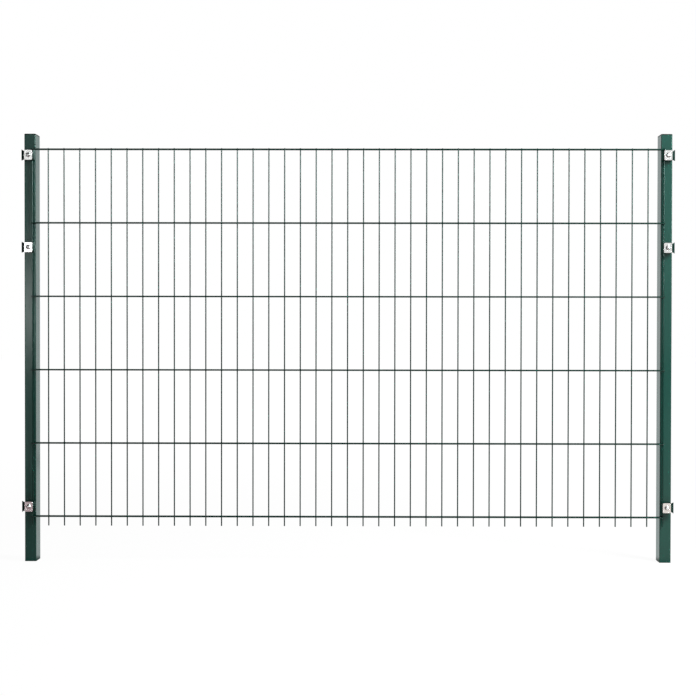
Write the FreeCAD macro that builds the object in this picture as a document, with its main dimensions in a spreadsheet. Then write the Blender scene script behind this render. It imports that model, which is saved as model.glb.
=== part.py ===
import FreeCAD, Part
import os
import Sketcher

# One bay of a welded mesh fence: two hollow posts, a double-wire panel and six clips.
# X runs along the fence to the right post, Y points away from the panel side, Z is up.
# The origin is the middle of the left post's foot, on the ground. Lengths are in mm.

doc = FreeCAD.newDocument("mesh_fence_bay")
sheet = doc.addObject("Spreadsheet::Sheet", "sizes")
sheet.Label = "sizes"

# Driving sizes
DRIVING = [
    # bay and panel
    ("upright_pitch", 50.0),
    ("upright_spaces", 40),
    ("row_pitch", 233.0),
    ("row_spaces", 5),
    ("low_row_height", 145.0),
    ("upright_wire", 4.0),
    ("row_wire", 5.0),
    ("spike_length", 30.0),
    ("top_stub", 4.0),
    ("side_stub", 4.0),
    ("end_wire_x", 10.0),
    # posts and caps
    ("post_width", 36.0),
    ("post_depth", 60.0),
    ("post_wall", 1.5),
    ("post_corner", 2.5),
    ("post_rise", 47.0),
    ("cap_height", 4.0),
    ("cap_bevel", 2.0),
    ("plug_depth", 18.0),
    ("plug_gap", 0.15),
    # clips
    ("saddle_stand", 24.0),
    ("saddle_width", 44.0),
    ("saddle_flat", 26.0),
    ("saddle_tall", 35.0),
    ("saddle_waist", 24.0),
    ("saddle_lip", 3.0),
    ("wing_root", 12.0),
    ("wing_back", 17.0),
    ("foot_width", 29.0),
    ("foot_tall", 33.0),
    ("foot_depth", 15.0),
    ("foot_shoulder", 9.0),
    ("wire_gap", 0.1),
    ("plate_width", 26.0),
    ("plate_height", 32.0),
    ("plate_thick", 2.0),
    ("plate_corner", 4.0),
    ("bolt_size", 6.0),
    ("bolt_gap", 0.15),
    ("bolt_reach", 12.0),
    ("neck_size", 6.4),
    ("neck_length", 5.0),
    ("head_size", 14.6),
    ("head_height", 4.0),
    ("head_bevel", 2.5),
    ("high_clip_drop", 19.5),
    ("middle_clip_drop", 78.0),
    ("low_clip_rise", 32.0),
]

# Sizes that follow from the driving ones
DERIVED = [
    ("panel_span", "upright_pitch * upright_spaces"),
    ("bay_pitch", "panel_span + 2 * end_wire_x"),
    ("row_x", "end_wire_x - side_stub"),
    ("row_length", "panel_span + 2 * side_stub"),
    ("post_front", "post_depth / 2"),
    ("upright_radius", "upright_wire / 2 / cos(22.5)"),
    ("row_radius", "row_wire / 2 / cos(22.5)"),
    ("back_row_y", "post_front + row_wire / 2"),
    ("upright_y", "post_front + row_wire + upright_wire / 2"),
    ("front_row_y", "post_front + 1.5 * row_wire + upright_wire"),
    ("spike_tip", "low_row_height - spike_length"),
    ("high_row_height", "low_row_height + row_spaces * row_pitch"),
    ("upright_length", "high_row_height + top_stub - spike_tip"),
    ("post_height", "high_row_height + post_rise"),
    ("half_post_width", "post_width / 2"),
    ("half_bore_width", "post_width / 2 - post_wall"),
    ("half_bore_depth", "post_depth / 2 - post_wall"),
    ("bore_corner", "post_corner - post_wall"),
    ("half_plug_width", "half_bore_width - plug_gap"),
    ("half_plug_depth", "half_bore_depth - plug_gap"),
    ("high_clip_height", "high_row_height - high_clip_drop"),
    ("middle_clip_height", "high_row_height - row_pitch - middle_clip_drop"),
    ("low_clip_height", "low_row_height + low_clip_rise"),
    ("half_saddle_width", "saddle_width / 2"),
    ("half_saddle_flat", "saddle_flat / 2"),
    ("half_saddle_tall", "saddle_tall / 2"),
    ("half_saddle_waist", "saddle_waist / 2"),
    ("half_foot_width", "foot_width / 2"),
    ("half_foot_tall", "foot_tall / 2"),
    ("lip_front", "wing_back + saddle_lip"),
    ("notch_inner", "end_wire_x - upright_wire / 2 - wire_gap"),
    ("notch_outer", "end_wire_x + upright_wire / 2 + wire_gap"),
    ("notch_depth", "upright_y - post_front + upright_wire / 2 + wire_gap"),
    ("half_plate_width", "plate_width / 2"),
    ("half_plate_height", "plate_height / 2"),
    ("hole_radius", "bolt_size / 2 + bolt_gap"),
    ("bolt_radius", "bolt_size / 2"),
    ("half_neck", "neck_size / 2"),
    ("half_neck_hole", "neck_size / 2 + bolt_gap"),
    ("head_radius", "head_size / 2"),
    ("plate_front", "saddle_stand + plate_thick"),
    ("neck_end", "plate_front - neck_length"),
    ("shank_length", "neck_end + bolt_reach"),
]

line = 1
for name, number in DRIVING:
    sheet.set("A%d" % line, name)
    sheet.set("B%d" % line, str(number))
    sheet.setAlias("B%d" % line, name)
    line = line + 1
for name, rule in DERIVED:
    sheet.set("A%d" % line, name)
    sheet.set("B%d" % line, "=" + rule)
    sheet.setAlias("B%d" % line, name)
    line = line + 1
doc.recompute()

# Two coordinates closer than this are the same
SAME = 0.01


def size(name):
    """The value of one named size."""
    return float(getattr(sheet, name))


def bind(item, prop, rule):
    """Tie a property to the sheet."""
    item.setExpression(prop, rule)


# Sketch helpers

def body_plane(body, role):
    """One of the body's own origin planes."""
    for item in body.Origin.OriginFeatures:
        if item.Role == role:
            return item
    raise RuntimeError("no plane " + role)


def sketch_on(body, role, name, lift=None):
    """A sketch on one of the body's planes, lifted along its normal if asked."""
    sketch = body.newObject("Sketcher::SketchObject", name)
    sketch.AttachmentSupport = (body_plane(body, role), [""])
    sketch.MapMode = "FlatFace"
    if lift:
        bind(sketch, "AttachmentOffset.Base.z", lift)
    return sketch


def signed(word):
    """Sign and size name of a coordinate such as -half_post_width."""
    if word == "0":
        return 0, None
    if word.startswith("-"):
        return -1, word[1:]
    return 1, word


def coordinate(word):
    """The number behind a signed size name."""
    sign, name = signed(word)
    if sign == 0:
        return 0.0
    return sign * size(name)


def pin(sketch, kind, curve, end, word):
    """Hold one coordinate of a point at a signed size."""
    sign, name = signed(word)
    if sign == 0:
        axis = -2 if kind == "DistanceX" else -1
        sketch.addConstraint(Sketcher.Constraint("PointOnObject", curve, end, axis))
        return
    if sign > 0:
        rule = Sketcher.Constraint(kind, -1, 1, curve, end, size(name))
    else:
        rule = Sketcher.Constraint(kind, curve, end, -1, 1, size(name))
    index = sketch.addConstraint(rule)
    bind(sketch, "Constraints[%d]" % index, "sizes." + name)


def outline(sketch, corners):
    """A closed run of straight lines through corners given as size names."""
    count = len(corners)
    places = []
    for across, along in corners:
        places.append(FreeCAD.Vector(coordinate(across), coordinate(along), 0))
    first = sketch.GeometryCount
    for i in range(count):
        segment = Part.LineSegment(places[i], places[(i + 1) % count])
        sketch.addGeometry(segment, False)
    for i in range(count):
        after = first + (i + 1) % count
        joint = Sketcher.Constraint("Coincident", first + i, 2, after, 1)
        sketch.addConstraint(joint)
    for i in range(count):
        pin(sketch, "DistanceX", first + i, 1, corners[i][0])
        pin(sketch, "DistanceY", first + i, 1, corners[i][1])


def box_outline(sketch, half_across, half_along):
    """A rectangle about the sketch origin."""
    corners = [
        ("-" + half_across, "-" + half_along),
        (half_across, "-" + half_along),
        (half_across, half_along),
        ("-" + half_across, half_along),
    ]
    outline(sketch, corners)


def ring(sketch, radius, along="0"):
    """A circle on the sketch's upright axis."""
    middle = FreeCAD.Vector(0, coordinate(along), 0)
    circle = Part.Circle(middle, FreeCAD.Vector(0, 0, 1), size(radius))
    curve = sketch.addGeometry(circle, False)
    pin(sketch, "DistanceX", curve, 3, "0")
    pin(sketch, "DistanceY", curve, 3, along)
    index = sketch.addConstraint(Sketcher.Constraint("Radius", curve, size(radius)))
    bind(sketch, "Constraints[%d]" % index, "sizes." + radius)


# Feature helpers

def pad(body, sketch, name, length, reverse=False, middle=False):
    """A pad of a sketch."""
    item = body.newObject("PartDesign::Pad", name)
    item.Profile = sketch
    bind(item, "Length", "sizes." + length)
    item.Reversed = reverse
    item.Midplane = middle
    body.Tip = item
    return item


def cut(body, sketch, name, length, reverse=False, middle=False):
    """A pocket of a sketch."""
    item = body.newObject("PartDesign::Pocket", name)
    item.Profile = sketch
    bind(item, "Length", "sizes." + length)
    item.Reversed = reverse
    item.Midplane = middle
    body.Tip = item
    return item


def round_edges(body, base, name, names, radius):
    """A fillet on named edges."""
    item = body.newObject("PartDesign::Fillet", name)
    item.Base = (base, names)
    bind(item, "Radius", "sizes." + radius)
    body.Tip = item
    return item


def bevel_edges(body, base, name, names, width):
    """A chamfer on named edges."""
    item = body.newObject("PartDesign::Chamfer", name)
    item.Base = (base, names)
    bind(item, "Size", "sizes." + width)
    body.Tip = item
    return item


def edges_along(shape, axis, places):
    """Names of straight edges along an axis whose other coordinates fit one of the places."""
    found = []
    for i, edge in enumerate(shape.Edges):
        if len(edge.Vertexes) != 2:
            continue
        start = edge.Vertexes[0].Point
        end = edge.Vertexes[1].Point
        run = end - start
        parts = [abs(run.x), abs(run.y), abs(run.z)]
        if parts[axis] < 0.5 or sum(parts) - parts[axis] > 0.001:
            continue
        rest = [start.x, start.y, start.z]
        del rest[axis]
        for place in places:
            near = abs(abs(rest[0]) - place[0]) + abs(abs(rest[1]) - place[1])
            if near < SAME:
                found.append("Edge%d" % (i + 1))
    return found


def edges_at_height(shape, height):
    """Names of all edges that lie in the level plane at a height."""
    found = []
    for i, edge in enumerate(shape.Edges):
        box = edge.BoundBox
        if abs(box.ZMin - height) < SAME and abs(box.ZMax - height) < SAME:
            found.append("Edge%d" % (i + 1))
    return found


def new_body(label):
    """An empty body with its label."""
    body = doc.addObject("PartDesign::Body", label)
    body.Label = label
    return body


POST_PLACES = {"left": "0", "right": "sizes.bay_pitch"}
CLIP_PLACES = {
    "high": "sizes.high_clip_height",
    "middle": "sizes.middle_clip_height",
    "low": "sizes.low_clip_height",
}
nodes = []


# Posts: rounded rectangular tubes with three bolt holes in the front wall

def make_post(side):
    body = new_body(side + "_post")
    base = sketch_on(body, "XY_Plane", side + "_post_outline")
    box_outline(base, "half_post_width", "post_front")
    tube = pad(body, base, side + "_post_tube", "post_height")
    doc.recompute()
    names = edges_along(tube.Shape, 2, [(size("half_post_width"), size("post_front"))])
    rounded = round_edges(body, tube, side + "_post_corners", names, "post_corner")
    hollow = sketch_on(body, "XY_Plane", side + "_post_hollow")
    box_outline(hollow, "half_bore_width", "half_bore_depth")
    bored = cut(body, hollow, side + "_post_bore", "post_height", reverse=True)
    doc.recompute()
    place = (size("half_bore_width"), size("half_bore_depth"))
    names = edges_along(bored.Shape, 2, [place])
    inner = round_edges(body, bored, side + "_post_bore_corners", names, "bore_corner")
    holes = sketch_on(body, "XZ_Plane", side + "_post_bolt_holes")
    ring(holes, "hole_radius", "high_clip_height")
    ring(holes, "hole_radius", "middle_clip_height")
    ring(holes, "hole_radius", "low_clip_height")
    cut(body, holes, side + "_post_bolt_bores", "post_depth", reverse=True)
    bind(body, "Placement.Base.x", POST_PLACES[side])
    nodes.append(body)


# Post caps: a bevelled lid with a plug that slips inside the tube

def make_cap(side):
    body = new_body(side + "_post_cap")
    base = sketch_on(body, "XY_Plane", side + "_cap_outline", "sizes.post_height")
    box_outline(base, "half_post_width", "post_front")
    lid = pad(body, base, side + "_cap_lid", "cap_height")
    doc.recompute()
    names = edges_along(lid.Shape, 2, [(size("half_post_width"), size("post_front"))])
    rounded = round_edges(body, lid, side + "_cap_corners", names, "post_corner")
    doc.recompute()
    names = edges_at_height(rounded.Shape, size("post_height") + size("cap_height"))
    bevel_edges(body, rounded, side + "_cap_bevel", names, "cap_bevel")
    stem = sketch_on(body, "XY_Plane", side + "_cap_plug_outline", "sizes.post_height")
    box_outline(stem, "half_plug_width", "half_plug_depth")
    plug = pad(body, stem, side + "_cap_plug", "plug_depth", reverse=True)
    doc.recompute()
    place = (size("half_plug_width"), size("half_plug_depth"))
    names = edges_along(plug.Shape, 2, [place])
    round_edges(body, plug, side + "_cap_plug_corners", names, "bore_corner")
    bind(body, "Placement.Base.x", POST_PLACES[side])
    nodes.append(body)


# Panel: eight-sided bars, upright wires between pairs of level wires, welded into one

def make_bar(name, radius, length, turn):
    """One eight-sided bar whose flats face the next layer of wires."""
    bar = doc.addObject("Part::Prism", name)
    bar.Polygon = 8
    bind(bar, "Circumradius", "sizes." + radius)
    bind(bar, "Height", "sizes." + length)
    spin = FreeCAD.Rotation(FreeCAD.Vector(0, 0, 1), 22.5)
    bar.Placement = FreeCAD.Placement(FreeCAD.Vector(0, 0, 0), turn.multiply(spin))
    return bar


def make_panel():
    upright = FreeCAD.Rotation()
    level = FreeCAD.Rotation(FreeCAD.Vector(0, 1, 0), 90)
    bars = []
    for i in range(int(size("upright_spaces")) + 1):
        bar = make_bar("upright_wire_%02d" % (i + 1), "upright_radius", "upright_length", upright)
        bind(bar, "Placement.Base.x", "sizes.end_wire_x + %d * sizes.upright_pitch" % i)
        bind(bar, "Placement.Base.y", "-sizes.upright_y")
        bind(bar, "Placement.Base.z", "sizes.spike_tip")
        bars.append(bar)
    for side, depth in (("back", "back_row_y"), ("front", "front_row_y")):
        for i in range(int(size("row_spaces")) + 1):
            bar = make_bar("%s_row_wire_%d" % (side, i + 1), "row_radius", "row_length", level)
            bind(bar, "Placement.Base.x", "sizes.row_x")
            bind(bar, "Placement.Base.y", "-sizes." + depth)
            bind(bar, "Placement.Base.z", "sizes.low_row_height + %d * sizes.row_pitch" % i)
            bars.append(bar)
    panel = doc.addObject("Part::MultiFuse", "mesh_panel")
    panel.Shapes = bars
    panel.Label = "mesh_panel"
    nodes.append(panel)


# Clips: a winged saddle over the end wires, a pressed plate and a round-headed bolt

def make_saddle(side, level):
    label = "%s_%s_saddle" % (side, level)
    body = new_body(label)
    section = sketch_on(body, "XY_Plane", label + "_section")
    outline(section, [
        ("-half_foot_width", "0"),
        ("half_foot_width", "0"),
        ("half_foot_width", "-wing_root"),
        ("half_saddle_width", "-wing_back"),
        ("half_saddle_width", "-lip_front"),
        ("half_saddle_flat", "-saddle_stand"),
        ("-half_saddle_flat", "-saddle_stand"),
        ("-half_saddle_width", "-lip_front"),
        ("-half_saddle_width", "-wing_back"),
        ("-half_foot_width", "-wing_root"),
    ])
    pad(body, section, label + "_block", "saddle_tall", middle=True)

    # the wings flare towards their tips
    for end, way in (("high", ""), ("low", "-")):
        waist = sketch_on(body, "XZ_Plane", "%s_waist_%s" % (label, end))
        outline(waist, [
            ("-half_saddle_flat", way + "half_saddle_waist"),
            ("half_saddle_flat", way + "half_saddle_waist"),
            ("half_saddle_width", way + "half_saddle_tall"),
            ("half_saddle_width", way + "saddle_tall"),
            ("-half_saddle_width", way + "saddle_tall"),
            ("-half_saddle_width", way + "half_saddle_tall"),
        ])
        cut(body, waist, "%s_flare_%s" % (label, end), "saddle_width", reverse=True)

    # the foot holds the end wires and stays clear of the top row
    foot = sketch_on(body, "YZ_Plane", label + "_foot_section")
    outline(foot, [
        ("0", "-half_foot_tall"),
        ("-foot_shoulder", "-half_foot_tall"),
        ("-foot_depth", "-half_saddle_waist"),
        ("-foot_depth", "half_saddle_waist"),
        ("-foot_shoulder", "half_foot_tall"),
        ("0", "half_foot_tall"),
    ])
    pad(body, foot, label + "_foot", "foot_width", middle=True)
    for end, way in (("near", ""), ("far", "-")):
        notch = sketch_on(body, "XY_Plane", "%s_notch_%s" % (label, end))
        outline(notch, [
            (way + "notch_inner", "-notch_depth"),
            (way + "notch_outer", "-notch_depth"),
            (way + "notch_outer", "notch_depth"),
            (way + "notch_inner", "notch_depth"),
        ])
        cut(body, notch, "%s_wire_seat_%s" % (label, end), "saddle_width", middle=True)
    hole = sketch_on(body, "XZ_Plane", label + "_hole")
    box_outline(hole, "half_neck_hole", "half_neck_hole")
    cut(body, hole, label + "_bore", "saddle_stand", reverse=True)
    set_clip_place(body, side, level)
    nodes.append(body)


def make_plate(side, level):
    label = "%s_%s_plate" % (side, level)
    body = new_body(label)
    face = sketch_on(body, "XZ_Plane", label + "_outline", "sizes.saddle_stand")
    box_outline(face, "half_plate_width", "half_plate_height")
    flat = pad(body, face, label + "_sheet", "plate_thick")
    doc.recompute()
    names = edges_along(flat.Shape, 1, [(size("half_plate_width"), size("half_plate_height"))])
    round_edges(body, flat, label + "_corners", names, "plate_corner")
    hole = sketch_on(body, "XZ_Plane", label + "_hole")
    box_outline(hole, "half_neck_hole", "half_neck_hole")
    cut(body, hole, label + "_bore", "plate_front", reverse=True)
    set_clip_place(body, side, level)
    nodes.append(body)


def make_bolt(side, level):
    label = "%s_%s_bolt" % (side, level)
    body = new_body(label)

    # the head is round in 16 flats, with a bevel for its dome
    head = body.newObject("PartDesign::AdditivePrism", label + "_head")
    head.Polygon = 16
    bind(head, "Circumradius", "sizes.head_radius")
    bind(head, "Height", "sizes.head_height")
    head.AttachmentSupport = (body_plane(body, "XZ_Plane"), [""])
    head.MapMode = "FlatFace"
    bind(head, "AttachmentOffset.Base.z", "sizes.plate_front")
    body.Tip = head
    doc.recompute()
    front = -(size("plate_front") + size("head_height"))
    names = []
    for i, edge in enumerate(head.Shape.Edges):
        box = edge.BoundBox
        if abs(box.YMin - front) < SAME and abs(box.YMax - front) < SAME:
            names.append("Edge%d" % (i + 1))
    bevel_edges(body, head, label + "_dome", names, "head_bevel")

    # a square neck through the plate, then the round shank into the post
    square = sketch_on(body, "XZ_Plane", label + "_neck_outline", "sizes.plate_front")
    box_outline(square, "half_neck", "half_neck")
    pad(body, square, label + "_neck", "neck_length", reverse=True)
    circle = sketch_on(body, "XZ_Plane", label + "_shank_outline", "sizes.neck_end")
    ring(circle, "bolt_radius")
    pad(body, circle, label + "_shank", "shank_length", reverse=True)
    set_clip_place(body, side, level)
    nodes.append(body)


def set_clip_place(body, side, level):
    """Put a clip piece on the front face of its post."""
    bind(body, "Placement.Base.x", POST_PLACES[side])
    bind(body, "Placement.Base.y", "-sizes.post_front")
    bind(body, "Placement.Base.z", CLIP_PLACES[level])


for side in ("left", "right"):
    make_post(side)
    make_cap(side)
make_panel()
for side in ("left", "right"):
    for level in ("high", "middle", "low"):
        make_saddle(side, level)
        make_plate(side, level)
        make_bolt(side, level)
doc.recompute()

# Checks and export
for item in doc.Objects:
    for word in item.State:
        if word in ("Invalid", "Error"):
            raise RuntimeError(item.Name + " is " + word)

os.makedirs("parts", exist_ok=True)
for item in nodes:
    shape = item.Shape
    if shape.isNull() or not shape.isValid() or len(shape.Solids) != 1:
        raise RuntimeError(item.Label + " isn't one valid solid")
    shape.exportStep("parts/" + item.Label + ".step")
    box = shape.BoundBox
    place = (box.XMin, box.XMax, box.YMin, box.YMax, box.ZMin, box.ZMax)
    print(item.Label, ["%.2f" % number for number in place])
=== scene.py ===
import math

import bmesh
import bpy
from mathutils import Matrix, Vector


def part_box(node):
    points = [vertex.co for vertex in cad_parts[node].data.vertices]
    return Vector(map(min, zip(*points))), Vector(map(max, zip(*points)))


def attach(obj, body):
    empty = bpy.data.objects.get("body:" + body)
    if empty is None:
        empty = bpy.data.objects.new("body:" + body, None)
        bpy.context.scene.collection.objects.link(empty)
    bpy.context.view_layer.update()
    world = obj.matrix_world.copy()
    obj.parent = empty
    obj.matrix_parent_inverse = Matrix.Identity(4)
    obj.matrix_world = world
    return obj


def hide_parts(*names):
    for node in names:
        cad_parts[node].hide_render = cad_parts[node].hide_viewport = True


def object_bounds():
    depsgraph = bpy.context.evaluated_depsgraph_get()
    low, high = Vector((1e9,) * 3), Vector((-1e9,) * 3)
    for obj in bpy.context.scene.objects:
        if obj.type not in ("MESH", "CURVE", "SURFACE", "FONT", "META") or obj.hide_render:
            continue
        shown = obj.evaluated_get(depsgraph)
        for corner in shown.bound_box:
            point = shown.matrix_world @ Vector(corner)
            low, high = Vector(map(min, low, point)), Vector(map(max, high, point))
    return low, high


# Welded mesh fence bay, dressed around the fixed frame. All lengths are in metres.

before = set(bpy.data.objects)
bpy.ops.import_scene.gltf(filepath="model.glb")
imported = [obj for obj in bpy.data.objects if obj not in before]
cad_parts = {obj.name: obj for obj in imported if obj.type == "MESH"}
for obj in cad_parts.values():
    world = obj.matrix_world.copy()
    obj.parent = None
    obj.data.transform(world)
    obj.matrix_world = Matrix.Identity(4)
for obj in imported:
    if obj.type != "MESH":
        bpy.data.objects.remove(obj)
cad_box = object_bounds()

SIDES = ("left", "right")
LEVELS = ("high", "middle", "low")

# Levels at the two ends of a slope
UP = (0.0, 1.0)
DOWN = (1.0, 0.0)


# Node helpers

def new_material(name):
    """A node material with its tree and shader."""
    material = bpy.data.materials.new(name)
    material.use_nodes = True
    tree = material.node_tree
    return material, tree, tree.nodes["Principled BSDF"]


def fill(tree, node, inputs):
    """Give a node's inputs, each as a value or as another node's socket."""
    for name, value in inputs.items():
        if isinstance(value, bpy.types.NodeSocket):
            tree.links.new(value, node.inputs[name])
        else:
            node.inputs[name].default_value = value


def add_node(tree, kind, inputs=None, **settings):
    """A node with some of its settings and inputs given."""
    node = tree.nodes.new(kind)
    for name, value in settings.items():
        setattr(node, name, value)
    fill(tree, node, inputs or {})
    return node


def row_place(tree):
    """The place in the row frame."""
    return add_node(tree, "ShaderNodeTexCoord").outputs["Object"]


def noise(tree, scale, detail=3.0, roughness=0.5, stretch=(1, 1, 1)):
    """Noise in the row frame, with a stretch per axis."""
    shift = add_node(tree, "ShaderNodeMapping", {
        "Vector": row_place(tree),
        "Scale": stretch,
    })
    pattern = add_node(tree, "ShaderNodeTexNoise", {
        "Vector": shift.outputs["Vector"],
        "Scale": scale,
        "Detail": detail,
        "Roughness": roughness,
    })
    return pattern.outputs["Fac"]


def ramp(tree, value, *stops):
    """A colour ramp of a value, with (position, colour) stops."""
    node = add_node(tree, "ShaderNodeValToRGB", {"Fac": value})
    elements = node.color_ramp.elements
    for element, (position, colour) in zip(elements, (stops[0], stops[-1])):
        element.position = position
        element.color = (*colour, 1)
    for position, colour in stops[1:-1]:
        elements.new(position).color = (*colour, 1)
    return node.outputs["Color"]


def map_range(tree, value, source, target=UP):
    """A value mapped from one range to another and clamped there."""
    node = add_node(tree, "ShaderNodeMapRange", {
        "Value": value,
        "From Min": source[0],
        "From Max": source[1],
        "To Min": target[0],
        "To Max": target[1],
    })
    return node.outputs["Result"]


def bump(tree, height, distance):
    """A normal from a height."""
    node = add_node(tree, "ShaderNodeBump", {
        "Height": height,
        "Distance": distance,
        "Strength": 1.0,
    })
    return node.outputs["Normal"]


# Materials of the object

def powder_coat(name, dark, light, rough, shine):
    """Powder coat: fine orange peel, slight clouding of colour and gloss."""
    material, tree, shader = new_material(name)
    cloud = noise(tree, scale=9.0, detail=4.0, roughness=0.55, stretch=(1, 1, 0.35))
    gloss = noise(tree, scale=60.0, detail=4.0, roughness=0.6)
    peel = noise(tree, scale=700.0, detail=2.0)
    fill(tree, shader, {
        "Base Color": ramp(tree, cloud, (0.3, dark), (0.7, light)),
        "Roughness": map_range(tree, gloss, UP, rough),
        "Normal": bump(tree, peel, distance=0.000015),
        "Specular IOR Level": shine,
    })
    return material


def moulded_plastic(name, dark, light, rough, shine):
    """Dark moulded plastic with a fine grain."""
    material, tree, shader = new_material(name)
    cloud = noise(tree, scale=90.0)
    grain = noise(tree, scale=1800.0, detail=2.0)
    fill(tree, shader, {
        "Base Color": ramp(tree, cloud, (0.3, dark), (0.7, light)),
        "Roughness": map_range(tree, cloud, UP, rough),
        "Normal": bump(tree, grain, distance=0.00002),
        "Specular IOR Level": shine,
    })
    return material


def bright_zinc(name, dark, light, rough, metal):
    """Bright zinc: fine rolled grain, faint crystal patches and dull spots."""
    material, tree, shader = new_material(name)
    crystals = add_node(tree, "ShaderNodeTexVoronoi", {
        "Vector": row_place(tree),
        "Scale": 260.0,
    })
    patches = noise(tree, scale=120.0, detail=4.0, roughness=0.6)
    blend = add_node(tree, "ShaderNodeMix", {
        "Factor": 0.5,
        "A": crystals.outputs["Distance"],
        "B": patches,
    }, data_type="FLOAT")
    grain = noise(tree, scale=900.0, detail=2.0, stretch=(1, 1, 0.08))
    fill(tree, shader, {
        "Base Color": ramp(tree, blend.outputs["Result"], (0.2, light), (0.7, dark)),
        "Roughness": map_range(tree, patches, UP, rough),
        "Normal": bump(tree, grain, distance=0.00003),
        "Metallic": metal,
    })
    return material


MESH_COAT = powder_coat(
    "mesh_coat",
    dark=(0.002, 0.030, 0.021), light=(0.004, 0.043, 0.032),
    rough=(0.10, 0.16), shine=0.5,
)
POST_COAT = powder_coat(
    "post_coat",
    dark=(0.010, 0.066, 0.050), light=(0.014, 0.078, 0.060),
    rough=(0.10, 0.16), shine=0.3,
)
CAP_PLASTIC = moulded_plastic(
    "cap_plastic",
    dark=(0.003, 0.013, 0.009), light=(0.006, 0.019, 0.014),
    rough=(0.50, 0.65), shine=0.2,
)
SADDLE_PLASTIC = moulded_plastic(
    "saddle_plastic",
    dark=(0.006, 0.024, 0.019), light=(0.011, 0.034, 0.027),
    rough=(0.23, 0.31), shine=0.12,
)
PLATE_ZINC = bright_zinc(
    "plate_zinc",
    dark=(0.76, 0.76, 0.75), light=(0.89, 0.89, 0.88),
    rough=(0.11, 0.19), metal=0.90,
)
BOLT_ZINC = bright_zinc(
    "bolt_zinc",
    dark=(0.62, 0.60, 0.60), light=(0.80, 0.80, 0.80),
    rough=(0.24, 0.36), metal=1.0,
)


# Mesh helpers

SHARP_DEGREES = 35
CORNER_STEPS = 8
QUARTERS = ((1, 1), (-1, 1), (-1, -1), (1, -1))


def make_piece(name, shape, material, nodes=(), sharp=SHARP_DEGREES):
    """An object from a bmesh, smooth but for its sharp edges, on the fixed body."""
    data = bpy.data.meshes.new(name)
    bmesh.ops.recalc_face_normals(shape, faces=shape.faces)
    shape.to_mesh(data)
    shape.free()
    for face in data.polygons:
        face.use_smooth = True
    data.set_sharp_from_angle(angle=math.radians(sharp))
    piece = bpy.data.objects.new(name, data)
    bpy.context.scene.collection.objects.link(piece)
    data.materials.append(material)
    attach(piece, "root")
    if nodes:
        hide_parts(*nodes)
    return piece


def add_skin(shape, rings):
    """Add a skin over a run of rings of points, closed at both ends."""
    loops = [[shape.verts.new(point) for point in ring] for ring in rings]
    for first, second in zip(loops, loops[1:]):
        for i in range(len(first)):
            after = (i + 1) % len(first)
            shape.faces.new((first[i], first[after], second[after], second[i]))
    shape.faces.new(list(reversed(loops[0])))
    shape.faces.new(loops[-1])


def new_skin(rings):
    """A bmesh of one closed skin over a run of rings of points."""
    shape = bmesh.new()
    add_skin(shape, rings)
    return shape


def circle(radius, sides, turn=0.0):
    """Points round a circle, as pairs."""
    points = []
    for i in range(sides):
        angle = 2 * math.pi * i / sides + turn
        points.append((radius * math.cos(angle), radius * math.sin(angle)))
    return points


def rounded_box(half_x, half_y, corner):
    """Points round a rectangle with round corners, as pairs."""
    points = []
    for quarter, (sx, sy) in enumerate(QUARTERS):
        for i in range(CORNER_STEPS + 1):
            angle = math.radians(90 * (quarter + i / CORNER_STEPS))
            x = sx * (half_x - corner) + corner * math.cos(angle)
            y = sy * (half_y - corner) + corner * math.sin(angle)
            points.append((x, y))
    return points


def centre_and_half(node):
    """The centre of a node's box, and half its size, along X, Y and Z."""
    low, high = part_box(node)
    centre = [(a + b) / 2 for a, b in zip(low, high)]
    half = [(b - a) / 2 for a, b in zip(low, high)]
    return centre, half


# Panel: round wires with soft cut ends, and a weld at every crossing

ROW_WIRE = 0.005
UPRIGHT_COUNT = 41
ROW_COUNT = 6
SPIKE_LENGTH = 0.030
TOP_STUB = 0.004
SIDE_STUB = 0.004

WIRE_SIDES = 16
END_ROUND = 0.0006
# Rings of a softened end: shares of END_ROUND inward, and of the wire's radius
END_RINGS = ((0.0, 0.72), (0.35, 0.92), (1.0, 1.0))
# One more ring keeps the shading of the long part straight
END_STRAIGHT = 0.0012

WELD_SIDES = 10
WELD_SLOPES = (-75, -50, -20, 20, 50, 75)
WELD_SIZE = (0.0023, 0.0009, 0.0026)


def wire_rings(start, length, radius):
    """Rings along a wire with softened ends: (distance, radius) pairs."""
    steps = [(END_ROUND * inward, radius * reach) for inward, reach in END_RINGS]
    steps.append((END_STRAIGHT, radius))
    near = [(start + inward, reach) for inward, reach in steps]
    far = [(start + length - inward, reach) for inward, reach in reversed(steps)]
    return near + far


def add_wire(shape, along, place, start, length, radius):
    """One wire along Z or X."""
    rings = []
    for distance, reach in wire_rings(start, length, radius):
        ring = []
        for across, deep in circle(reach, WIRE_SIDES, math.pi / WIRE_SIDES):
            if along == "z":
                ring.append((place[0] + across, place[1] + deep, distance))
            else:
                ring.append((distance, place[0] + across, place[1] + deep))
        rings.append(ring)
    add_skin(shape, rings)


def add_weld(shape, centre):
    """A small squeezed-out bead between two wires."""
    rings = []
    for slope in WELD_SLOPES:
        angle = math.radians(slope)
        ring = []
        for across, along in circle(math.cos(angle), WELD_SIDES):
            ring.append((
                centre[0] + across * WELD_SIZE[0],
                centre[1] + math.sin(angle) * WELD_SIZE[1],
                centre[2] + along * WELD_SIZE[2],
            ))
        rings.append(ring)
    add_skin(shape, rings)


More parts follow.
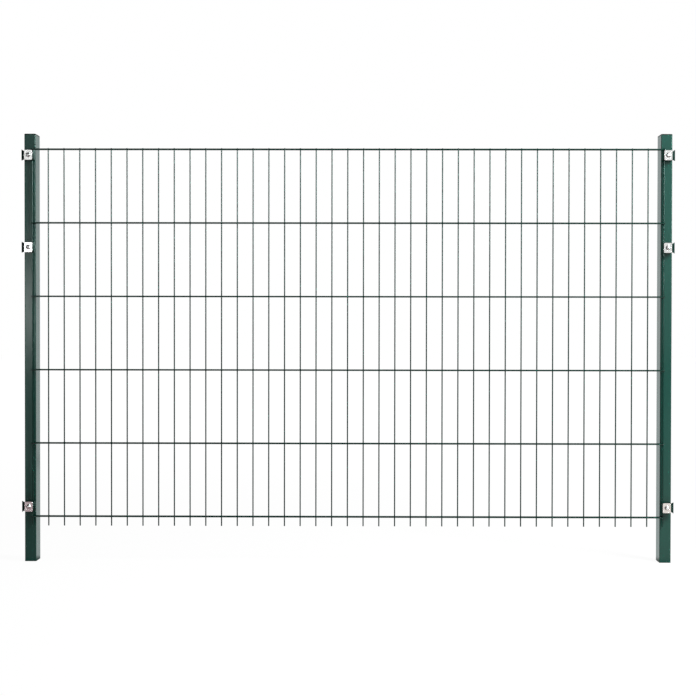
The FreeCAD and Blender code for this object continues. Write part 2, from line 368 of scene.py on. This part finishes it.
def build_panel():
    """The uprights, the rows before and behind them, and their welds."""
    low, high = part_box("mesh_panel")
    upright_wire = (high.y - low.y) - 2 * ROW_WIRE
    first_x = low.x + SIDE_STUB
    step_x = (high.x - low.x - 2 * SIDE_STUB) / (UPRIGHT_COUNT - 1)
    first_z = low.z + SPIKE_LENGTH
    step_z = (high.z - TOP_STUB - first_z) / (ROW_COUNT - 1)
    middle_y = (low.y + high.y) / 2

    uprights = bmesh.new()
    for i in range(UPRIGHT_COUNT):
        place = (first_x + i * step_x, middle_y)
        add_wire(uprights, "z", place, low.z, high.z - low.z, upright_wire / 2)
    make_piece("upright_wires", uprights, MESH_COAT, ["mesh_panel"])

    for name, row_y in (
        ("back_row_wires", high.y - ROW_WIRE / 2),
        ("front_row_wires", low.y + ROW_WIRE / 2),
    ):
        rows = bmesh.new()
        for j in range(ROW_COUNT):
            place = (row_y, first_z + j * step_z)
            add_wire(rows, "x", place, low.x, high.x - low.x, ROW_WIRE / 2)
        make_piece(name, rows, MESH_COAT)

    for name, seam_y in (
        ("back_welds", middle_y + upright_wire / 2),
        ("front_welds", middle_y - upright_wire / 2),
    ):
        welds = bmesh.new()
        for i in range(UPRIGHT_COUNT):
            for j in range(ROW_COUNT):
                centre = (first_x + i * step_x, seam_y, first_z + j * step_z)
                add_weld(welds, centre)
        make_piece(name, welds, MESH_COAT)


# Caps of the posts

POST_CORNER = 0.0025
POST_WALL = 0.0015
PLUG_CORNER = POST_CORNER - POST_WALL
PLUG_INSET = POST_WALL + 0.00015
PLUG_BEVEL = 0.0004
PLUG_BEVEL_HEIGHT = 0.0006
LID_BEVEL = 0.0003
# Rings up the lid: shares of its height, and insets
LID_RINGS = (
    (0.40, 0.0), (0.62, 0.0003), (0.82, 0.0010), (0.94, 0.0021), (0.985, 0.0036),
)
LID_TOP_INSET = 0.0080


def build_cap(side):
    """A lid with a slight dome and rounded edges, on a plug inside the post."""
    low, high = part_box(side + "_post_cap")
    centre, half = centre_and_half(side + "_post_cap")
    post_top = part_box(side + "_post")[1].z
    lid = high.z - post_top
    profile = [
        (low.z, PLUG_INSET + PLUG_BEVEL, PLUG_CORNER),
        (low.z + PLUG_BEVEL_HEIGHT, PLUG_INSET, PLUG_CORNER),
        (post_top, PLUG_INSET, PLUG_CORNER),
        (post_top, LID_BEVEL, POST_CORNER),
        (post_top + LID_BEVEL, 0.0, POST_CORNER),
    ]
    for share, inset in LID_RINGS:
        profile.append((post_top + lid * share, inset, POST_CORNER))
    profile.append((high.z, LID_TOP_INSET, POST_CORNER))
    rings = []
    for height, inset, corner in profile:
        outline = rounded_box(half[0] - inset, half[1] - inset, corner)
        rings.append([(centre[0] + x, centre[1] + y, height) for x, y in outline])
    make_piece(
        side + "_cap", new_skin(rings), CAP_PLASTIC,
        [side + "_post_cap"],
    )


# Clips

SADDLE_MERGE = 0.00001
SADDLE_FLAT_DEGREES = 1
SADDLE_ROUND = 0.0007
SADDLE_ROUND_STEPS = 3
SADDLE_ROUND_DEGREES = 20

PLATE_CORNER = 0.004
PLATE_LEAST_CORNER = 0.001
PLATE_ROLL = 0.0005
# Rings of the plate's edges: shares of PLATE_ROLL inward, and inset
PLATE_BACK_RINGS = ((0.0, 1.0), (0.3, 0.3), (1.0, 0.0))
PLATE_FRONT_RINGS = ((1.4, 0.0), (0.5, 0.45), (0.0, 1.1))
# The ring inside each face, as a share of the plate's half width
PLATE_FACE_SHARE = 0.3
PLATE_SHARP_DEGREES = 30

HEAD_SIDES = 32
# Rings of the bolt's head from its top: shares of its height, and of its radius
HEAD_RINGS = (
    (0.0, 0.06), (0.006, 0.25), (0.025, 0.42), (0.075, 0.57), (0.17, 0.71),
    (0.34, 0.85), (0.58, 0.95), (0.80, 0.99), (0.90, 1.0), (0.97, 0.995),
)
HEAD_FOOT_SHARE = 0.965
SHANK_RADIUS = 0.003
SHANK_BEVEL = 0.0008


def build_saddle(side, level):
    """The moulded saddle, as in the CAD but with softened edges."""
    node = "%s_%s_saddle" % (side, level)
    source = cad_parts[node]
    shape = bmesh.new()
    shape.from_mesh(source.data)
    bmesh.ops.remove_doubles(shape, verts=shape.verts, dist=SADDLE_MERGE)
    bmesh.ops.dissolve_limit(
        shape, angle_limit=math.radians(SADDLE_FLAT_DEGREES),
        verts=shape.verts, edges=shape.edges,
    )
    piece = make_piece(
        node + "_moulding", shape, SADDLE_PLASTIC, [node]
    )
    soften = piece.modifiers.new("soft_edges", "BEVEL")
    soften.width = SADDLE_ROUND
    soften.segments = SADDLE_ROUND_STEPS
    soften.limit_method = "ANGLE"
    soften.angle_limit = math.radians(SADDLE_ROUND_DEGREES)


def build_plate(side, level):
    """The pressed plate, with round corners and fine edges."""
    node = "%s_%s_plate" % (side, level)
    low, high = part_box(node)
    centre, half = centre_and_half(node)
    face_inset = half[0] * PLATE_FACE_SHARE
    profile = [(high.y, face_inset)]
    for inward, inset in PLATE_BACK_RINGS:
        profile.append((high.y - PLATE_ROLL * inward, PLATE_ROLL * inset))
    for inward, inset in PLATE_FRONT_RINGS:
        profile.append((low.y + PLATE_ROLL * inward, PLATE_ROLL * inset))
    profile.append((low.y, face_inset))
    rings = []
    for depth, inset in profile:
        corner = max(PLATE_CORNER - inset, PLATE_LEAST_CORNER)
        outline = rounded_box(half[0] - inset, half[2] - inset, corner)
        rings.append([(centre[0] + x, depth, centre[2] + z) for x, z in outline])
    make_piece(
        node + "_pressing", new_skin(rings), PLATE_ZINC, [node],
        sharp=PLATE_SHARP_DEGREES,
    )


def build_bolt(side, level):
    """The bolt: a domed head on the plate and a round shank into the post."""
    node = "%s_%s_bolt" % (side, level)
    low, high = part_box(node)
    centre, half = centre_and_half(node)
    head = half[0]
    plate_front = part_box("%s_%s_plate" % (side, level))[0].y
    rise = plate_front - low.y
    profile = [(low.y + rise * deep, head * reach) for deep, reach in HEAD_RINGS]
    profile += [
        (plate_front, head * HEAD_FOOT_SHARE),
        (plate_front, SHANK_RADIUS),
        (high.y - SHANK_BEVEL, SHANK_RADIUS),
        (high.y, SHANK_RADIUS - SHANK_BEVEL),
    ]
    rings = []
    for depth, radius in profile:
        outline = circle(radius, HEAD_SIDES)
        rings.append([(centre[0] + x, depth, centre[2] + z) for x, z in outline])
    make_piece(node + "_round_head", new_skin(rings), BOLT_ZINC, [node])


build_panel()
for side in SIDES:
    build_cap(side)
    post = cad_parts[side + "_post"]
    post.data.materials.clear()
    post.data.materials.append(POST_COAT)
    for level in LEVELS:
        build_saddle(side, level)
        build_plate(side, level)
        build_bolt(side, level)


# Stage helpers

def ray_kinds(tree):
    """The camera and glossy outputs of a light path node."""
    path = add_node(tree, "ShaderNodeLightPath")
    return path.outputs["Is Camera Ray"], path.outputs["Is Glossy Ray"]


def glow(tree, kind, colour, strength):
    """An emission or background, with its colour and strength as values or sockets."""
    return add_node(tree, kind, {"Color": colour, "Strength": strength}).outputs[0]


def mix(tree, share, first, second):
    """Two shaders mixed by a share, which is a value or a socket."""
    node = add_node(tree, "ShaderNodeMixShader", {"Fac": share, 1: first, 2: second})
    return node.outputs[0]


def join(tree, operation, *values):
    """Values joined one after another by a product or a maximum."""
    total = values[0]
    for value in values[1:]:
        node = add_node(tree, "ShaderNodeMath", {0: total, 1: value}, operation=operation)
        total = node.outputs["Value"]
    return total


def window(tree, value, rise, fall):
    """One between two slopes and nothing outside them."""
    return join(
        tree, "MULTIPLY",
        map_range(tree, value, rise, UP),
        map_range(tree, value, fall, DOWN),
    )


def split_place(tree, output):
    """A place or a direction, split into X, Y and Z."""
    place = add_node(tree, "ShaderNodeTexCoord").outputs[output]
    return add_node(tree, "ShaderNodeSeparateXYZ", {"Vector": place})


WHITE = (1, 1, 1, 1)
# What mirrors see of the white surroundings
MIRRORED_WHITE = (0.84, 0.93, 0.92)


# Floor: white to the camera; to mirrors a painted glow, bright only in some places

FLOOR_REACH = 30.0
FLOOR_DROP = 0.0005
FLOOR_GREY = (0.86, 0.86, 0.86, 1)
# Share of the camera's view that is plain white; the rest shows the shadow
FLOOR_WHITE_SHARE = 0.88
# Far off the ground goes over into the backdrop
FLOOR_FAR = (1.0, 5.0)
FLOOR_WHITE_LEVELS = (1.08, 1.125)

# Mirrored in the low clips, the near ground's painted glow is dull at the left and paler
# at the right
NEAR_GROUND = ((-3.6, -2.4), (-0.1, 0.1))
NEAR_GROUND_ACROSS = (-0.5, 3.0)
NEAR_GROUND_STOPS = ((0.15, (0.42, 0.30, 0.32)), (0.7, (1.0, 0.92, 0.86)))

# Only the ground that the posts and clips mirror glows, a painted reflection in them. What
# the wires mirror is dark. Each glowing patch is a product of slopes, and each slope gives
# the line that it is measured across, where it starts and ends, and its levels there. A
# line is X or Y, or the lean of a line outward toward the front.
BRIGHT_GROUND_LEVELS = (0.05, 1.0)
BEFORE_POSTS = (("Y", (-14.0, -8.0), UP), ("Y", (-0.12, -0.04), DOWN))
BEFORE_LEFT_POST = ((0.235, (-1.0, -0.5), UP), (0.235, (0.15, 0.35), DOWN))
BEFORE_RIGHT_POST = ((-0.20, (1.75, 1.95), UP), (-0.20, (2.5, 3.0), DOWN))
BEHIND_LEFT_POST = (
    ("X", (-1.5, -0.5), UP), ("X", (0.7, 1.4), DOWN),
    ("Y", (0.0, 0.1), UP), ("Y", (3.0, 5.0), DOWN),
)
BEHIND_RIGHT_POST = (
    (-0.28, (1.7, 1.95), UP), (-0.13, (2.05, 2.3), DOWN),
    ("Y", (0.0, 0.1), UP),
)
FAR_BEHIND = (
    ("X", (0.6, 1.6), (0.6, 1.0)), ("Y", (0.2, 5.0), (0.25, 1.0)),
    (-0.5, (-1.5, -0.5), UP), (0.5, (2.5, 3.5), DOWN),
)
BRIGHT_GROUND = (
    BEFORE_LEFT_POST + BEFORE_POSTS,
    BEFORE_RIGHT_POST + BEFORE_POSTS,
    BEHIND_LEFT_POST,
    BEHIND_RIGHT_POST,
    FAR_BEHIND,
)


def across_line(tree, split, line):
    """X or Y, or the distance in X from a line that leans outward toward the front."""
    if isinstance(line, str):
        return split.outputs[line]
    node = add_node(tree, "ShaderNodeMath", {
        0: split.outputs["Y"],
        1: -line,
        2: split.outputs["X"],
    }, operation="MULTIPLY_ADD")
    return node.outputs["Value"]


def bright_ground(tree, split):
    """How bright the ground's painted glow is to mirrors, from 0 to 1."""
    patches = []
    for slopes in BRIGHT_GROUND:
        parts = [
            map_range(tree, across_line(tree, split, line), span, levels)
            for line, span, levels in slopes
        ]
        patches.append(join(tree, "MULTIPLY", *parts))
    return join(tree, "MAXIMUM", *patches)


def floor_material():
    """White with a faint shadow to the camera, and a painted glow in patches to mirrors.
    """
    material, tree, shader = new_material("floor_white")
    fill(tree, shader, {
        "Base Color": FLOOR_GREY,
        "Roughness": 0.9,
        "Specular IOR Level": 0.0,
    })
    split = split_place(tree, "Object")
    far = map_range(tree, split.outputs["Y"], FLOOR_FAR, FLOOR_WHITE_LEVELS)
    white = glow(tree, "ShaderNodeEmission", WHITE, far)
    seen = mix(tree, FLOOR_WHITE_SHARE, shader.outputs[0], white)

    across = map_range(tree, split.outputs["X"], NEAR_GROUND_ACROSS)
    tint = add_node(tree, "ShaderNodeMix", {
        "Factor": window(tree, split.outputs["Y"], *NEAR_GROUND),
        "A": (*MIRRORED_WHITE, 1),
        "B": ramp(tree, across, *NEAR_GROUND_STOPS),
    }, data_type="RGBA")
    # Painted glow that only mirrors see: it puts reflections into the posts and clips
    level = map_range(tree, bright_ground(tree, split), UP, BRIGHT_GROUND_LEVELS)
    mirrored = glow(tree, "ShaderNodeEmission", tint.outputs["Result"], level)

    camera_ray, glossy_ray = ray_kinds(tree)
    unseen = mix(tree, glossy_ray, shader.outputs[0], mirrored)
    surface = mix(tree, camera_ray, unseen, seen)
    tree.links.new(surface, tree.nodes["Material Output"].inputs["Surface"])
    return material


def build_floor():
    """A plain floor just under the object."""
    data = bpy.data.meshes.new("floor")
    corners = [
        (sx * FLOOR_REACH, sy * FLOOR_REACH, 0)
        for sx, sy in ((-1, -1), (1, -1), (1, 1), (-1, 1))
    ]
    data.from_pydata(corners, [], [(0, 1, 2, 3)])
    data.materials.append(floor_material())
    floor = bpy.data.objects.new("floor", data)
    floor.location = 0, 0, cad_box[0].z - FLOOR_DROP
    bpy.context.scene.collection.objects.link(floor)


# World: white to the camera; to mirrors white behind and in front, dark at the sides and
# above, with bright openings in front

AMBIENT_LEVEL = 0.21
# Stops from straight in front to straight behind
ROOM_STOPS = (
    (0.04, (0.9, 0.9, 0.9)),
    (0.14, (0.06, 0.06, 0.06)),
    (0.92, (0.05, 0.05, 0.05)),
    (0.965, MIRRORED_WHITE),
)
CEILING_HEIGHT = (0.15, 0.35)
CEILING_LEVELS = (1.0, 0.08)
FRONT_DEPTH = (-0.3, -0.1)
# Openings: slopes across, slopes upward, colour, level
OPENINGS = (
    (
        ((0.42, 0.50), (0.58, 0.66)), ((0.0, 0.12), (0.30, 0.45)),
        (0.72, 1.0, 0.95), 62.0,
    ),
    (
        ((-0.32, -0.28), (-0.18, -0.14)), ((-0.010, 0.0), (0.018, 0.036)),
        (0.92, 1.0, 0.98), 10.5,
    ),
)


def opening(tree, split, across, upward, colour, level):
    """A glow in front within a window of direction."""
    share = join(
        tree, "MULTIPLY",
        window(tree, split.outputs["X"], *across),
        window(tree, split.outputs["Z"], *upward),
        map_range(tree, split.outputs["Y"], FRONT_DEPTH, DOWN),
    )
    strength = map_range(tree, share, UP, (0.0, level))
    return glow(tree, "ShaderNodeBackground", (*colour, 1), strength)


def build_world():
    """The surroundings, apart for the camera, for mirrors and for diffuse light."""
    world = bpy.data.worlds.new("studio")
    bpy.context.scene.world = world
    world.use_nodes = True
    tree = world.node_tree
    tree.nodes.clear()
    output = add_node(tree, "ShaderNodeOutputWorld")
    split = split_place(tree, "Generated")
    depth = map_range(tree, split.outputs["Y"], (-1.0, 1.0))
    room = ramp(tree, depth, *ROOM_STOPS)
    ceiling = map_range(tree, split.outputs["Z"], CEILING_HEIGHT, CEILING_LEVELS)
    mirrored = glow(tree, "ShaderNodeBackground", room, ceiling)
    for values in OPENINGS:
        added = add_node(tree, "ShaderNodeAddShader", {
            0: mirrored,
            1: opening(tree, split, *values),
        })
        mirrored = added.outputs[0]
    ambient = glow(tree, "ShaderNodeBackground", WHITE, AMBIENT_LEVEL)
    white = glow(tree, "ShaderNodeBackground", WHITE, 1.0)
    camera_ray, glossy_ray = ray_kinds(tree)
    unseen = mix(tree, glossy_ray, ambient, mirrored)
    surface = mix(tree, camera_ray, unseen, white)
    tree.links.new(surface, output.inputs["Surface"])


# One soft lamp, right of the camera

LAMP_PLACE = Vector((3.2, -1.6, 2.2))
LAMP_AIM = Vector((2.0, 0.0, 0.8))
LAMP_SIZE = 1.0
LAMP_POWER = 80


def build_lamp():
    """A square soft lamp turned to a point."""
    data = bpy.data.lights.new("key", "AREA")
    data.size = LAMP_SIZE
    data.energy = LAMP_POWER
    lamp = bpy.data.objects.new("key", data)
    lamp.location = LAMP_PLACE
    direction = LAMP_AIM - LAMP_PLACE
    lamp.rotation_euler = direction.to_track_quat("-Z", "Y").to_euler()
    bpy.context.scene.collection.objects.link(lamp)


# Camera at the photograph's place, with its aim worked out from the photo's lattice

IMAGE_SIZE = 696
FOCAL_PIXELS = 1464.2
AXIS_SHIFT_PIXELS = 14.1
SENSOR_WIDTH = 36.0
CLIP_END = 100.0
LATTICE_CENTRE = Vector((1.010, -0.037, 0.7275))
CAMERA_OFFSET = Vector((0.080, -4.644, 0.0196))
PITCH, YAW, ROLL = (math.radians(angle) for angle in (0.8096, -0.4178, -0.0869))


def build_camera():
    """The camera of the photograph."""
    data = bpy.data.cameras.new("camera")
    data.sensor_width = SENSOR_WIDTH
    data.lens = SENSOR_WIDTH * FOCAL_PIXELS / IMAGE_SIZE
    data.shift_x = -AXIS_SHIFT_PIXELS / IMAGE_SIZE
    data.clip_end = CLIP_END
    camera = bpy.data.objects.new("camera", data)
    turn_x = Matrix.Rotation(PITCH, 3, "X")
    turn_y = Matrix.Rotation(YAW, 3, "Y")
    turn_z = Matrix.Rotation(ROLL, 3, "Z")
    to_camera = turn_z @ turn_x @ turn_y
    upright = Matrix(((1, 0, 0), (0, 0, -1), (0, 1, 0)))
    camera.matrix_world = (upright @ to_camera.transposed()).to_4x4()
    camera.location = LATTICE_CENTRE + CAMERA_OFFSET
    bpy.context.scene.collection.objects.link(camera)
    bpy.context.scene.camera = camera


build_floor()
build_world()
build_lamp()
build_camera()
bpy.context.scene.view_settings.view_transform = "Standard"
